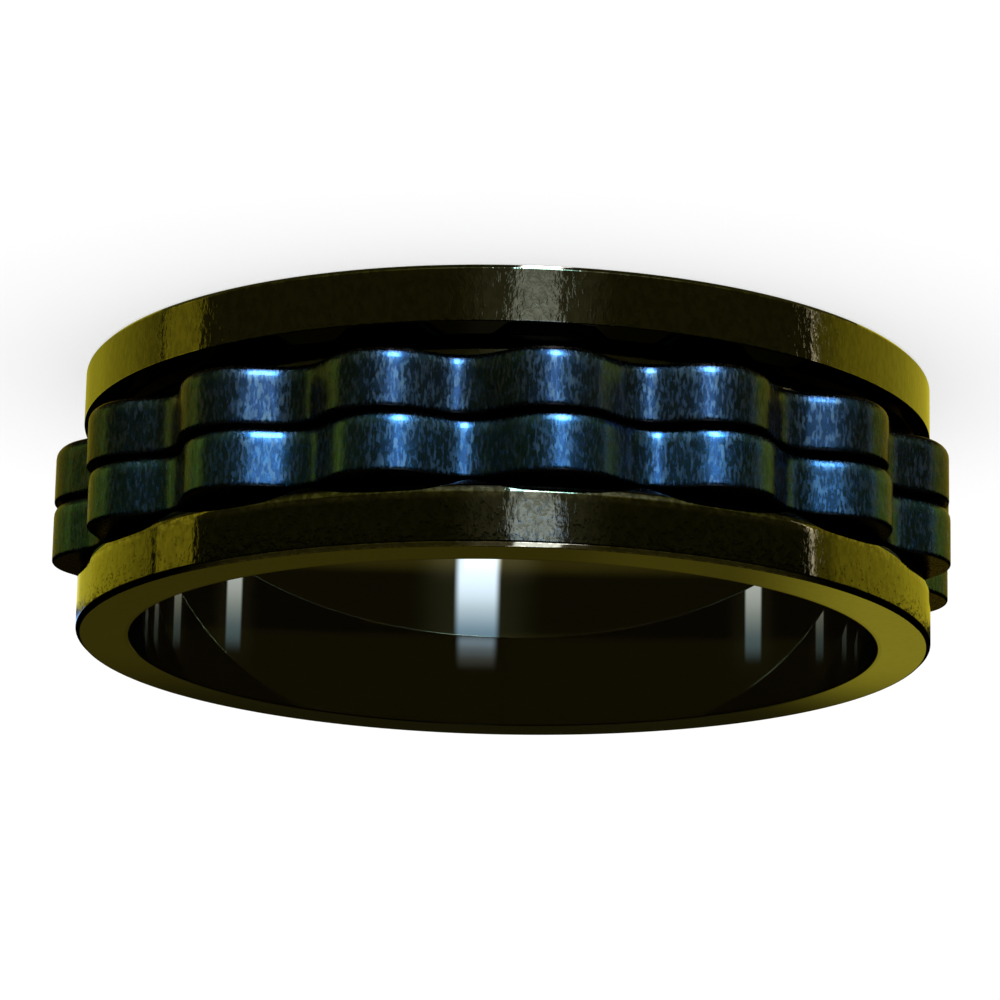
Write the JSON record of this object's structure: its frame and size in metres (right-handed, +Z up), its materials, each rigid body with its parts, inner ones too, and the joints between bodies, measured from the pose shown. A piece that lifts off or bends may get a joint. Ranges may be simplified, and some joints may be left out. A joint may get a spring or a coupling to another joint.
{
  "type": "spinner ring",
  "caption": "Black steel finger ring with two plain flanges and, in the channel between them, blue lobed rings that spin freely.",
  "frame": {"origin": "middle of the lower end face, on the axis, where the ring lies on its side", "axes": "+Z up along the ring's axis; the picture's camera looks towards +Y"},
  "size_m": [0.0268, 0.0268, 0.008],
  "materials": {
    "black_steel": "black plated steel, polished, fine scratches",
    "blue_steel": "blue plated steel, brushed along the axis"
  },
  "bodies": {
    "band": {"band": "black_steel", "end_ring": "black_steel"},
    "upper_spinner": {"spinner_upper": "blue_steel"},
    "lower_spinner": {"spinner_lower": "blue_steel"}
  },
  "joints": [
    {"name": "upper_spin", "type": "hinge", "parent": "band", "child": "upper_spinner", "pos_m": [0, 0, 0.00515], "axis": [0, 0, 1], "continuous": true},
    {"name": "lower_spin", "type": "hinge", "parent": "band", "child": "lower_spinner", "pos_m": [0, 0, 0.00332], "axis": [0, 0, 1], "continuous": true}
  ]
}
